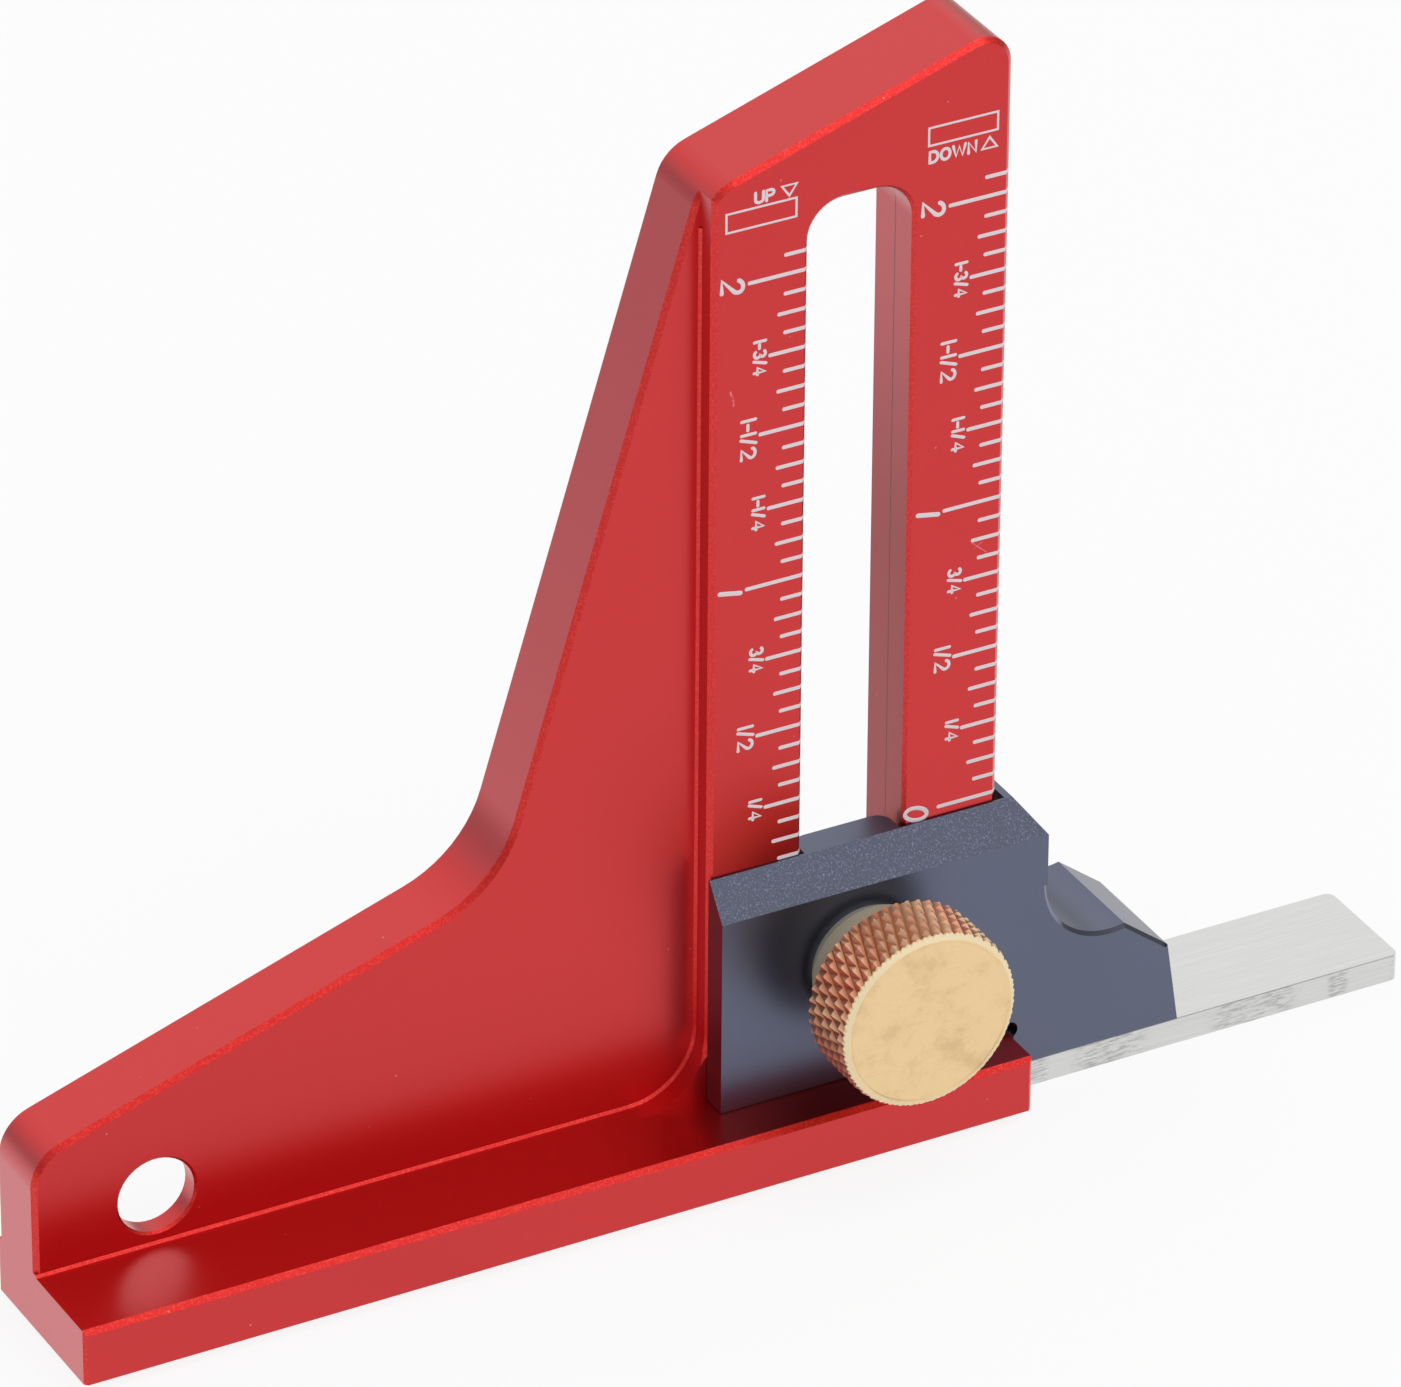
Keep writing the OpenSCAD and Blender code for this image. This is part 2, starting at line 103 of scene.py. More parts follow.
# Scuffs on the measuring bar's front edge in millimetres: the middle of each, from the base's left end, and
# half its length
SCUFFS = ((81.5, 1.2), (88.3, 2.8), (100.9, 3.4), (108.5, 0.8))
# Half the width, about the slot's middle, that holds only the slot's walls, in millimetres
SLOT_REACH = 5.2
# Heights between which the painted shade on the slot's walls deepens downwards, in millimetres
SLOT_PALE, SLOT_DARK = 77, 46
# Where the slot's walls were milled from both sides, from front to back, in millimetres
PARTING = 1.85
# Where the slider's arm starts, in millimetres from the base's right end
ARM_START = 4.6

# Colours that the finishes turn to in places
# Painted sheen on the walls that look to one side
WALL_SHEEN_LILAC = (0.6, 0.45, 0.56)
# Painted highlight on the chamfers
CHAMFER_HIGHLIGHT_RED = (0.9, 0.07, 0.04)
PARTING_RED = (0.12, 0.004, 0.006)
SCRATCH_PINK = (0.85, 0.35, 0.36)
DUST_PINK = (0.85, 0.4, 0.4)
BEVEL_GREY = (0.108, 0.12, 0.17)
THIN_PRINT = (0.62, 0.3, 0.33)
# Painted highlight on the knurl's tips
KNURL_TIP_HIGHLIGHT = (0.82, 0.6, 0.38)
STAIN_BROWN = (0.6, 0.38, 0.18)
BRUSHED_BROWN = (0.66, 0.44, 0.2)
SPECK_BROWN = (0.62, 0.4, 0.2)
RIM_CREAM = (1, 0.86, 0.56)
HUB_DULL = (0.46, 0.42, 0.31)
SCREW_DARK = (0.3, 0.3, 0.31)
WASHER_DULL = (0.42, 0.4, 0.33)

# Half width of the signs' strokes in millimetres
PEN = 0.125
# Half width of their arrows' strokes
ARROW_PEN = 1.25 * PEN
# How far the pen's middle lies inside an outline's left side, right side, foot and head
PEN_INSET = (PEN * MM, -PEN * MM, PEN * MM, -PEN * MM)
# The signs that say which scale reads up and which reads down, in millimetres from the base's left end and
# up: the window's left side, right side, foot and head, the same for the word and for its arrow, and
# whether the arrow points up
SIGNS = (
    ("sign_up", "UP", (55.54, 61.5, 77.77, 79.54), (57.89, 59.64, 79.64, 80.71),
        (60.04, 61.52, 79.59, 80.71), False),
    ("sign_down", "DOWN", (72.09, 78.04, 80.75, 82.45), (72.18, 76.25, 79.36, 80.48),
        (76.5, 78.0, 79.39, 80.52), True),
)
# The scales' labels in millimetres: the sixteenths that each stands at, its outer height and length, its gap
# to the line, how far it stands above the line's middle, half its stroke, and how far it leans forward
LABELS = (
    ("0", 0, 2.2, 1.46, 0.66, -0.12, 0.17, 0.18),
    ("1/4", 4, 1.27, 1.82, 0.06, -0.04, 0.125, 0),
    ("1/2", 8, 1.54, 2.12, 0.06, 0, 0.13, 0),
    ("3/4", 12, 1.33, 2.16, 0.06, 0.14, 0.125, 0),
    ("1", 16, 2.08, 0.71, 0.17, 0, 0.19, 0.2),
    ("1-1/4", 20, 1.24, 2.9, 0.06, -0.22, 0.125, 0),
    ("1-1/2", 24, 1.5, 3.43, 0.06, -0.2, 0.13, 0),
    ("1-3/4", 28, 1.25, 2.93, 0.06, 0, 0.125, 0),
    ("2", 32, 2.08, 1.58, 0.2, 0.1, 0.17, 0.18),
)


class GaugeMarks(bpy.types.PropertyGroup):
    """Sizes of the printed scales."""

    face: bpy.props.FloatProperty(
        name="Face", description="Where the column's front face lies from front to back",
        default=-0.8 * MM, unit="LENGTH")
    slot_width: bpy.props.FloatProperty(
        name="Slot width", description="Width of the slot beside the left scale",
        default=8.64 * MM, min=0, unit="LENGTH")
    edge_break: bpy.props.FloatProperty(
        name="Edge chamfer", description="Width of the chamfer that the right scale's lines turn over",
        default=0.4 * MM, min=0, unit="LENGTH")
    slot_break: bpy.props.FloatProperty(
        name="Slot chamfer", description="Width of the chamfer that the left scale's lines turn over",
        default=0.28 * MM, min=0, unit="LENGTH")
    line_width: bpy.props.FloatProperty(
        name="Line width", description="Width of a scale line",
        default=0.31 * MM, min=0.05 * MM, unit="LENGTH")
    right_lengths: bpy.props.FloatVectorProperty(
        name="Right lines", description="Lengths of the right scale's lines, from the inch to the sixteenth",
        size=5, default=(5.17 * MM, 4.1 * MM, 3.3 * MM, 2.7 * MM, 2.17 * MM), unit="LENGTH")
    left_lengths: bpy.props.FloatVectorProperty(
        name="Left lines", description="Lengths of the left scale's lines, from the inch to the sixteenth",
        size=5, default=(4.97 * MM, 3.97 * MM, 3.22 * MM, 2.52 * MM, 2.02 * MM), unit="LENGTH")
    stand: bpy.props.FloatProperty(
        name="Print thickness", description="How far the print stands on the face",
        default=0.018 * MM, min=0.001 * MM, unit="LENGTH")
    right_zero: bpy.props.FloatProperty(
        name="Right zero", description="Height of the right scale's zero line",
        default=24.78 * MM, unit="LENGTH")
    left_zero: bpy.props.FloatProperty(
        name="Left zero", description="Height of the left scale's zero line",
        default=22.58 * MM, unit="LENGTH")
    divisions: bpy.props.IntProperty(
        name="Divisions", description="Number of sixteenths on each scale", default=33, min=1)


class GaugeKnob(bpy.types.PropertyGroup):
    """Sizes of the clamp knob's knurl and of the stud's thread."""

    head: bpy.props.FloatProperty(
        name="Head length", description="Length of the knob's knurled head",
        default=5.5 * MM, min=1 * MM, unit="LENGTH")
    hub: bpy.props.FloatProperty(
        name="Hub diameter", description="Diameter of the plain hub behind the head",
        default=10 * MM, min=6 * MM, unit="LENGTH")
    rim: bpy.props.FloatProperty(
        name="Rim chamfer", description="Width of the pale chamfer at the head's front rim",
        default=0.55 * MM, min=0.05 * MM, unit="LENGTH")
    rim_depth: bpy.props.FloatProperty(
        name="Rim depth", description="How far that chamfer runs back along the head",
        default=0.42 * MM, min=0.05 * MM, unit="LENGTH")
    lip: bpy.props.FloatProperty(
        name="Lip", description="Width of the lip inside the front chamfer",
        default=0.24 * MM, min=0.05 * MM, unit="LENGTH")
    face_depth: bpy.props.FloatProperty(
        name="Face depth", description="How far the turned face lies behind the lip",
        default=0.05 * MM, min=0.01 * MM, unit="LENGTH")
    back_rim: bpy.props.FloatProperty(
        name="Back chamfer", description="Width of the chamfer at the head's back rim",
        default=0.12 * MM, min=0.02 * MM, unit="LENGTH")
    teeth: bpy.props.IntProperty(
        name="Teeth", description="Number of diamonds round the knob", default=48, min=12)
    depth: bpy.props.FloatProperty(
        name="Deep grooves", description="Depth of the knurl's grooves of one hand",
        default=0.31 * MM, min=0.05 * MM, unit="LENGTH")
    cross_depth: bpy.props.FloatProperty(
        name="Shallow grooves", description="Depth of the grooves that cross them",
        default=0.26 * MM, min=0.02 * MM, unit="LENGTH")
    helix: bpy.props.FloatProperty(
        name="Helix angle", description="Angle between a groove and the knob's axis",
        default=math.radians(22), subtype="ANGLE")
    tips: bpy.props.FloatProperty(
        name="Worn tips", description="How much of each diamond's tip is turned off",
        default=0.05 * MM, min=0, unit="LENGTH")
    pitch: bpy.props.FloatProperty(
        name="Thread pitch", description="Distance from thread to thread on the stud",
        default=0.8 * MM, min=0.2 * MM, unit="LENGTH")
    thread: bpy.props.FloatProperty(
        name="Thread depth", description="Depth of the stud's thread",
        default=0.44 * MM, min=0.05 * MM, unit="LENGTH")


class GaugeColours(bpy.types.PropertyGroup):
    """Colours of the finishes, as they look on the part."""

    red: bpy.props.FloatVectorProperty(
        name="Anodised red", description="Colour of the frame", size=3,
        default=(0.655, 0.0062, 0.0092), min=0, max=1, subtype="COLOR")
    grey: bpy.props.FloatVectorProperty(
        name="Anodised grey", description="Colour of the slider", size=3,
        default=(0.098, 0.114, 0.188), min=0, max=1, subtype="COLOR")
    bar: bpy.props.FloatVectorProperty(
        name="Bar", description="Colour of the measuring bar", size=3,
        default=(0.79, 0.79, 0.78), min=0, max=1, subtype="COLOR")
    print_white: bpy.props.FloatVectorProperty(
        name="Print", description="Colour of the lines and numbers", size=3,
        default=(0.82, 0.74, 0.78), min=0, max=1, subtype="COLOR")
    brass: bpy.props.FloatVectorProperty(
        name="Brass", description="Colour of the knob's turned face", size=3,
        default=(0.92, 0.68, 0.38), min=0, max=1, subtype="COLOR")
    # Painted shade: the colour deep in the knob's knurl
    knurl_shade: bpy.props.FloatVectorProperty(
        name="Knurl", description="Colour deep in the knob's knurl", size=3,
        default=(0.55, 0.3, 0.16), min=0, max=1, subtype="COLOR")
    steel: bpy.props.FloatVectorProperty(
        name="Steel", description="Colour of the stud, washer and screws", size=3,
        default=(0.56, 0.56, 0.57), min=0, max=1, subtype="COLOR")


class GaugeStage(bpy.types.PropertyGroup):
    """Camera, floor, room and lamp."""

    eye: bpy.props.FloatVectorProperty(
        name="Camera", description="Where the camera stands", size=3,
        default=(-323.556 * MM, -620.303 * MM, 460.386 * MM), subtype="TRANSLATION")
    azimuth: bpy.props.FloatProperty(
        name="Azimuth", description="How far the camera stands to the left of the front",
        default=math.radians(28.6055), subtype="ANGLE")
    elevation: bpy.props.FloatProperty(
        name="Elevation", description="How far the camera looks down",
        default=math.radians(30.7729), subtype="ANGLE")
    roll: bpy.props.FloatProperty(
        name="Roll", description="How far the camera leans to one side",
        default=math.radians(-0.4239), subtype="ANGLE")
    lens: bpy.props.FloatProperty(
        name="Lens", description="Focal length in millimetres", default=288.83, min=1)
    floor_size: bpy.props.FloatProperty(
        name="Floor", description="Width of the floor", default=6, min=1, unit="LENGTH")
    floor_colour: bpy.props.FloatVectorProperty(
        name="Floor colour", description="Colour of the pale floor", size=3,
        default=(0.9, 0.9, 0.9), min=0, max=1, subtype="COLOR")
    world_strength: bpy.props.FloatProperty(
        name="Room light", description="Strength of the even light from all round",
        default=0.75, min=0)
    floor_white: bpy.props.FloatProperty(
        name="White floor", description="Share of plain white that the camera sees on the floor",
        default=0.88, min=0, max=1)
    floor_mirrored: bpy.props.FloatProperty(
        name="Mirrored floor", description="Share of plain glow that the metal mirrors from the floor",
        default=0.85, min=0, max=1)
    lamp_place: bpy.props.FloatVectorProperty(
        name="Lamp", description="Where the soft lamp hangs", size=3,
        default=(190 * MM, -250 * MM, 850 * MM), subtype="TRANSLATION")
    lamp_target: bpy.props.FloatVectorProperty(
        name="Lamp target", description="The point that the lamp is turned to", size=3,
        default=(10 * MM, 0, 40 * MM), subtype="TRANSLATION")
    lamp_size: bpy.props.FloatProperty(
        name="Lamp size", description="Width of the lamp", default=500 * MM, min=1 * MM, unit="LENGTH")
    lamp_power: bpy.props.FloatProperty(
        name="Lamp power", description="Power of the lamp", default=1.3, min=0, unit="POWER")


class Value:
    """A number or colour that changes over a surface, so that node maths reads as plain sums."""

    def __init__(self, finish, socket):
        self.finish = finish
        self.socket = socket

    def _sum(self, operation, *terms):
        return self.finish.node("ShaderNodeMath", {"operation": operation}, enumerate(terms))

    def __add__(self, other):
        return self._sum("ADD", self, other)

    __radd__ = __add__

    def __sub__(self, other):
        return self._sum("SUBTRACT", self, other)

    def __rsub__(self, other):
        return self._sum("SUBTRACT", other, self)

    def __mul__(self, other):
        return self._sum("MULTIPLY", self, other)

    __rmul__ = __mul__

    def __truediv__(self, other):
        return self._sum("DIVIDE", self, other)

    def __pow__(self, other):
        return self._sum("POWER", self, other)

    def __abs__(self):
        return self._sum("ABSOLUTE", self)

    def highest(self, other):
        return self._sum("MAXIMUM", self, other)

    def lowest(self, other):
        return self._sum("MINIMUM", self, other)


class Nodes:
    """A tree of shader nodes that is built with few words."""

    def __init__(self, tree):
        self.tree = tree

    def node(self, kind, settings=None, inputs=None, output=0):
        """Adds a node, with its settings first and then its sockets' values or links."""
        made = self.tree.nodes.new(kind)
        for key, value in (settings or {}).items():
            setattr(made, key, value)
        for key, value in dict(inputs or {}).items():
            self.join(made.inputs[key], value)
        return Value(self, made.outputs[output])

    def join(self, socket, value):
        """Links a value to a socket, or sets the socket to a plain number or colour."""
        if isinstance(value, Value):
            self.tree.links.new(value.socket, socket)
        elif socket.type == "RGBA":
            socket.default_value = (*value, 1)
        else:
            socket.default_value = value

    def axes(self, vector):
        """The three parts of a vector."""
        made = self.tree.nodes.new("ShaderNodeSeparateXYZ")
        self.join(made.inputs[0], vector)
        return [Value(self, output) for output in made.outputs]

    def ramp(self, value, low, high, start=0, end=1):
        """Goes smoothly from start to end while the value goes from low to high."""
        return self.node("ShaderNodeMapRange", {"interpolation_type": "SMOOTHSTEP"},
            {"Value": value, "From Min": low, "From Max": high, "To Min": start, "To Max": end})

    def band(self, value, middle, half, soft):
        """One inside a band round the middle, and nothing outside it."""
        return self.ramp(abs(value - middle), half + soft, half)

    def blend(self, share, first, second):
        """A colour between two."""
        return self.node("ShaderNodeMix", {"data_type": "RGBA"}, {0: share, 6: first, 7: second}, 2)

    def tint(self, colour, share):
        """A colour made lighter or darker by a number that changes."""
        return self.node("ShaderNodeVectorMath", {"operation": "SCALE"}, {"Vector": colour, "Scale": share})


class Finish(Nodes):
    """A material built node by node round one metal or paint shader."""

    def __init__(self, name):
        self.material = bpy.data.materials.new(name)
        self.material.use_nodes = True
        super().__init__(self.material.node_tree)
        self.shader = self.tree.nodes["Principled BSDF"]
        self.place = self.node("ShaderNodeVectorMath", {"operation": "SCALE"},
            {"Vector": self.node("ShaderNodeTexCoord", output="Object"), "Scale": 1 / MM})
        self.facing = self.node("ShaderNodeTexCoord", output="Normal")

    def set(self, **sockets):
        """Sets or links the shader's sockets; an underscore in a name stands for a space."""
        for key, value in sockets.items():
            self.join(self.shader.inputs[key.replace("_", " ")], value)
        return self.material

    def stretch(self, scale, turn=(0, 0, 0)):
        """The place on the part in millimetres, turned and stretched."""
        return self.node("ShaderNodeMapping", {}, {"Vector": self.place, "Rotation": turn, "Scale": scale})

    def noise(self, scale, detail=2, rough=0.5, at=None):
        """Soft random spots, so many to a millimetre, about 0.5 in the middle."""
        return self.node("ShaderNodeTexNoise", {},
            {"Vector": at or self.place, "Scale": scale, "Detail": detail, "Roughness": rough})

    def bump(self, height, distance, strength):
        """The surface's tilt from a height, which is in shares of a distance in millimetres."""
        return self.node("ShaderNodeBump", {},
            {"Height": height, "Distance": distance * MM, "Strength": strength})

    def specks(self, scale, size):
        """Small separate specks, so many to a millimetre."""
        spots = self.node("ShaderNodeTexVoronoi", {}, {"Vector": self.place, "Scale": scale})
        return self.ramp(spots, size, size / 2)

    def radius(self):
        """How far a point lies from the clamp's axis, in millimetres."""
        x, y, z = self.axes(self.place)
        across, rise = x - AXIS_X / MM, z - AXIS_Z / MM
        return (across * across + rise * rise) ** 0.5

    def scratch(self, start, end, half):
        """One along a straight fine scratch between two points on the front, in millimetres."""
        x, y, z = self.axes(self.place)
        u, v = x - start[0], z - start[1]
        run, rise = end[0] - start[0], end[1] - start[1]
        length = math.hypot(run, rise)
        along = (u * (run / length) + v * (rise / length)) / length
        across = abs(u * (rise / length) - v * (run / length))
        inside = self.ramp(along, -0.02, 0.15) * self.ramp(along, 1.02, 0.85)
        return self.ramp(across, half * 1.6, half * 0.4) * inside


def mix(first, second, share):
    """A plain colour between two."""
    return tuple(a + (b - a) * share for a, b in zip(first, second))


def anodised_red(colours):
    """Satin red anodised aluminium under a clear sealed layer, with fine grain, painted highlights on the
    chamfers, painted sheen on the side walls, painted shade low in the slot, and wear.
    """
    made = Finish("anodised_red")
    red = tuple(colours.red)
    x, y, z = made.axes(made.place)
    side, front, up = made.axes(made.facing)
    grain = made.noise(9, 2, 0.6)
    cloud = made.noise(0.09, 2, 0.5)
    chamfer = made.ramp(abs(front + 0.71), 0.2, 0.08)
    spark = made.ramp(made.noise(6, 2, 0.6), 0.42, 0.7)
    shade = 0.93 + 0.09 * grain + 0.05 * cloud
    # Walls that look to one side get a painted sheen, and chamfers get a painted highlight with a coarse
    # grain
    wall_sheen = made.ramp(abs(side), 0.6, 0.9)
    colour = made.blend(wall_sheen * 0.1, made.tint(red, shade), WALL_SHEEN_LILAC)
    colour = made.blend(chamfer * (0.08 + 0.55 * spark), colour, CHAMFER_HIGHLIGHT_RED)
    # The slot's walls get a painted shade that deepens downwards, and show the fine line where they were
    # milled from both sides
    inside = made.ramp(abs(side), 0.9, 0.96) * made.band(x - AXIS_X / MM, 0, SLOT_REACH, 0.4)
    sunk = inside * made.ramp(z, SLOT_PALE, SLOT_DARK)
    colour = made.tint(colour, 1 - 0.42 * sunk)
    parting = made.band(y, PARTING, 0.05, 0.05) * inside
    colour = made.blend(parting * 0.85, colour, PARTING_RED)
    # Small pale marks and scratches on the front faces
    worn = 0
    for start, end, half in WEAR:
        worn = made.scratch(start, end, half) + worn
    worn = worn * made.ramp(front, -0.9, -0.97) * made.ramp(made.noise(7, 2, 0.6), 0.35, 0.6)
    colour = made.blend(worn.lowest(1) * 0.6, colour, SCRATCH_PINK)
    dust = made.specks(0.45, 0.045) * made.ramp(made.noise(0.3, 1, 0.5), 0.5, 0.55)
    colour = made.blend(dust * 0.5, colour, DUST_PINK)
    rough = 0.31 + 0.09 * grain + 0.04 * cloud
    coat = 1 - 0.5 * chamfer - 0.5 * sunk
    return made.set(Base_Color=colour, Metallic=1.0, Roughness=rough, Coat_Weight=coat, Coat_IOR=1.5,
        Coat_Roughness=0.28, Normal=made.bump(grain, 0.01, 0.5))


def anodised_grey(colours):
    """Semi-gloss blue-grey anodised aluminium, smooth in front and finely speckled on the bevels."""
    made = Finish("anodised_grey")
    grey = tuple(colours.grey)
    x, y, z = made.axes(made.place)
    side, front, up = made.axes(made.facing)
    bevel = made.ramp(up, 0.3, 0.45) * made.ramp(up, 0.9, 0.8) * made.ramp(front, -0.3, -0.5)
    fine = made.noise(8, 2, 0.6)
    coarse = made.noise(6.5, 3, 0.7)
    cloud = made.noise(0.12, 2, 0.5)
    spark = made.ramp(coarse, 0.5, 0.72)
    # The narrow chamfers of the finger cut and of the arm's slope get a painted shade
    start_x = BODY_HIGH.x / MM + ARM_START
    arm = made.ramp(x, start_x, start_x + 0.2) * bevel
    bevel = bevel - arm
    # The slider's right edges catch the light
    rim = made.ramp(side, 0.5, 0.6) * made.ramp(front, -0.5, -0.6)
    shade = 0.9 + 0.1 * fine + 0.08 * cloud + bevel * (1.7 * spark + 0.1) - 0.65 * arm + 0.6 * rim
    grey = made.blend(bevel * 0.7, grey, BEVEL_GREY)
    rough = 0.37 + 0.06 * fine
    height = fine * 0.3 + bevel * coarse * 2
    return made.set(Base_Color=made.tint(grey, shade), Metallic=1.0, Roughness=rough, Coat_Weight=1.0,
        Coat_IOR=1.5, Coat_Roughness=0.36, Normal=made.bump(height, 0.02, 0.5))


def brushed_bar(colours):
    """Bare aluminium brushed along the bar, with small dull scuffs on its front edge."""
    made = Finish("brushed_bar")
    pale = tuple(colours.bar)
    x, y, z = made.axes(made.place)
    side, front, up = made.axes(made.facing)
    along = made.noise(1, 4, 0.65, made.stretch((0.12, 7, 7)))
    fine = made.noise(1, 2, 0.6, made.stretch((0.5, 26, 26)))
    edge = made.ramp(front, -0.85, -0.95)
    top = made.ramp(up, 0.85, 0.95)
    # A fine dark line runs along the upper front edge
    rim = made.band(y, BAR_LOW.y / MM, 0.06, 0.06) * top + made.band(z, BAR_HIGH.z / MM, 0.03, 0.06) * edge
    dirt = made.band(x, BAR_HIGH.x / MM, 0.3, 0.8) * 0.5
    for middle, half in SCUFFS:
        dirt = made.band(x, middle + LEFT / MM, half * 0.7, half * 0.7).highest(dirt)
    dashes = made.ramp(made.noise(1, 3, 0.7, made.stretch((0.9, 7, 6))), 0.42, 0.66)
    scuff = dirt * dashes * edge
    shade = 0.78 + 0.28 * along + 0.12 * fine - 0.05 * edge - 0.28 * scuff - 0.7 * rim * along
    rough = 0.26 + 0.16 * along + 0.12 * scuff
    return made.set(Base_Color=made.tint(pale, shade), Metallic=1.0, Roughness=rough,
        Normal=made.bump(along + fine * 0.6, 0.02, 0.35))


def printed_white(colours):
    """Dull light print, slightly uneven and thin in places."""
    made = Finish("printed_white")
    pale = tuple(colours.print_white)
    worn = made.noise(2.4, 3, 0.6)
    dots = made.noise(11, 1, 0.5)
    shade = 0.9 + 0.14 * worn + 0.08 * dots
    colour = made.blend(made.ramp(worn, 0.62, 0.74) * 0.3, made.tint(pale, shade), THIN_PRINT)
    return made.set(Base_Color=colour, Metallic=0.0, Roughness=0.5 + 0.2 * worn,
        Normal=made.bump(dots, 0.01, 0.4))


def turned_brass(colours, sizes):
    """Brass turned smooth on the face, with painted shade deep in the knurl and a painted highlight on its
    tips, and dull on the hub.
    """
    made = Finish("turned_brass")
    brass, knurl_shade = tuple(colours.brass), tuple(colours.knurl_shade)
    x, y, z = made.axes(made.place)
    radius = made.radius()
    rim = (KNOB_HIGH.x - KNOB_LOW.x) / 2 / MM
    front = KNOB_LOW.y / MM
    face_end = front + sizes.rim_depth / MM
    face = made.ramp(y, face_end + 0.08, face_end - 0.02)
    cone_start = rim - sizes.rim / MM
    cone = made.ramp(radius, cone_start - 0.05, cone_start + 0.01) * face
    high = made.ramp(radius, rim - 0.28, rim - 0.08)
    stain = made.noise(0.42, 4, 0.6)
    fine = made.noise(3.2, 3, 0.65)
    hairs = made.noise(1, 3, 0.7, made.stretch((0.5, 1, 7), (0, math.radians(35), 0)))
    cross = made.noise(1, 3, 0.7, made.stretch((0.6, 1, 6), (0, math.radians(-28), 0)))
    rings = made.noise(1, 2, 0.5, made.node("ShaderNodeCombineXYZ", {}, {0: radius * 9}))
    # Deep in the knurl the brass gets a painted shade, and towards the tips a painted highlight
    side = made.blend(high * 0.9 + 0.25 * stain, knurl_shade, mix(knurl_shade, KNURL_TIP_HIGHLIGHT, 0.95))
    brushed = made.ramp(cross, 0.5, 0.75) * made.ramp(made.noise(0.25, 1, 0.5), 0.45, 0.6)
    flat = made.blend(made.ramp(stain, 0.45, 0.7) * 0.75, brass, mix(brass, STAIN_BROWN, 0.5))
    flat = made.blend(brushed * 0.35, flat, BRUSHED_BROWN)
    flat = made.blend(made.ramp(fine, 0.62, 0.74) * 0.3, flat, SPECK_BROWN)
    flat = made.blend(cone * 0.85, flat, RIM_CREAM)
    head_end = front + sizes.head / MM
    hub = made.ramp(y, head_end, head_end + 0.1)
    side = made.blend(hub, side, HUB_DULL)
    colour = made.tint(made.blend(face, side, flat), 0.93 + 0.1 * fine + 0.04 * hairs)
    rough = 0.3 + 0.1 * fine + 0.08 * stain + 0.25 * hub
    height = fine * 0.5 + hairs * 0.6 + cross * 0.5 + rings * 0.4
    metal = 1 - 0.7 * hub - 0.8 * cone
    return made.set(Base_Color=colour, Metallic=metal, Roughness=rough + 0.15 * cone,
        Normal=made.bump(height, 0.015, 0.3))


def plain_metal(name, colour, turned=True, metal=1.0):
    """Machined metal with fine tool marks and a little tarnish."""
    made = Finish(name)
    if turned:
        x, y, z = made.axes(made.place)
        rings = made.node("ShaderNodeCombineXYZ", {}, {0: made.radius() * 8, 1: y * 5})
        marks = made.noise(1, 2, 0.5, rings)
    else:
        marks = made.noise(1, 3, 0.6, made.stretch((7, 7, 0.5)))
    tarnish = made.noise(0.6, 3, 0.6)
    shade = 0.84 + 0.14 * marks + 0.14 * tarnish
    return made.set(Base_Color=made.tint(colour, shade), Metallic=metal,
        Roughness=0.26 + 0.14 * marks + 0.1 * tarnish, Normal=made.bump(marks, 0.012, 0.4))


def dress(node, material):
    """Gives a CAD part its finish."""
    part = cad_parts[node]
    part.data.materials.clear()
    part.data.materials.append(material)


def start(name):
    """Names the active piece, and goes into edit mode on it alone."""
    piece = bpy.context.object
    piece.name = name
    bpy.ops.object.mode_set(mode="EDIT")
    return piece


def clear():
    """Leaves edit mode and deselects everything."""
    if bpy.context.object and bpy.context.object.mode != "OBJECT":
        bpy.ops.object.mode_set(mode="OBJECT")
    bpy.ops.object.select_all(action="DESELECT")


def pick(piece, wanted, kind="VERT"):
    """Selects the vertices or edges whose middle passes a test, in edit mode."""
    bpy.ops.mesh.select_mode(type=kind)
    bpy.ops.mesh.select_all(action="DESELECT")
    shape = bmesh.from_edit_mesh(piece.data)
    if kind == "VERT":
        places = [(item, item.co) for item in shape.verts]
    else:
        places = [(item, (item.verts[0].co + item.verts[1].co) / 2) for item in shape.edges]
    for item, middle in places:
        item.select_set(bool(wanted(middle)))
    shape.select_flush_mode()
    bmesh.update_edit_mesh(piece.data)


def only(piece):
    """Selects one piece alone and makes it the active one."""
    clear()
    piece.select_set(True)
    bpy.context.view_layer.objects.active = piece


def settle(piece):
    """Applies the object's own place, so that the place is in the mesh."""
    only(piece)
    bpy.ops.object.transform_apply(location=True, rotation=True, scale=True)
    clear()


def apply(piece, kind, **settings):
    """Adds a modifier to a piece and applies it at once."""
    only(piece)
    added = piece.modifiers.new(kind.title(), kind)
    for key, value in settings.items():
        setattr(added, key, value)
    bpy.ops.object.modifier_apply(modifier=added.name)
    clear()


def cut(piece, tool, operation):
    """Joins, cuts or crosses a piece with a tool solid, which is then deleted."""
    apply(piece, "BOOLEAN", object=tool, operation=operation, solver="EXACT")
    bpy.data.objects.remove(tool)


def gather(name, pieces):
    """Joins several pieces into one."""
    only(pieces[0])
    for piece in pieces[1:]:
        piece.select_set(True)
    bpy.ops.object.join()
    whole = bpy.context.object
    whole.name = name
    clear()
    return whole


def copied(piece, shift):
    """A copy of a piece with its own mesh, moved to its place."""
    twin = piece.copy()
    twin.data = piece.data.copy()
    twin.data.transform(Matrix.Translation(shift))
    bpy.context.scene.collection.objects.link(twin)
    return twin


def smooth(piece, degrees):
    """Shades a piece smooth over its gentle edges."""
    only(piece)
    bpy.ops.object.shade_smooth_by_angle(angle=math.radians(degrees))
    clear()


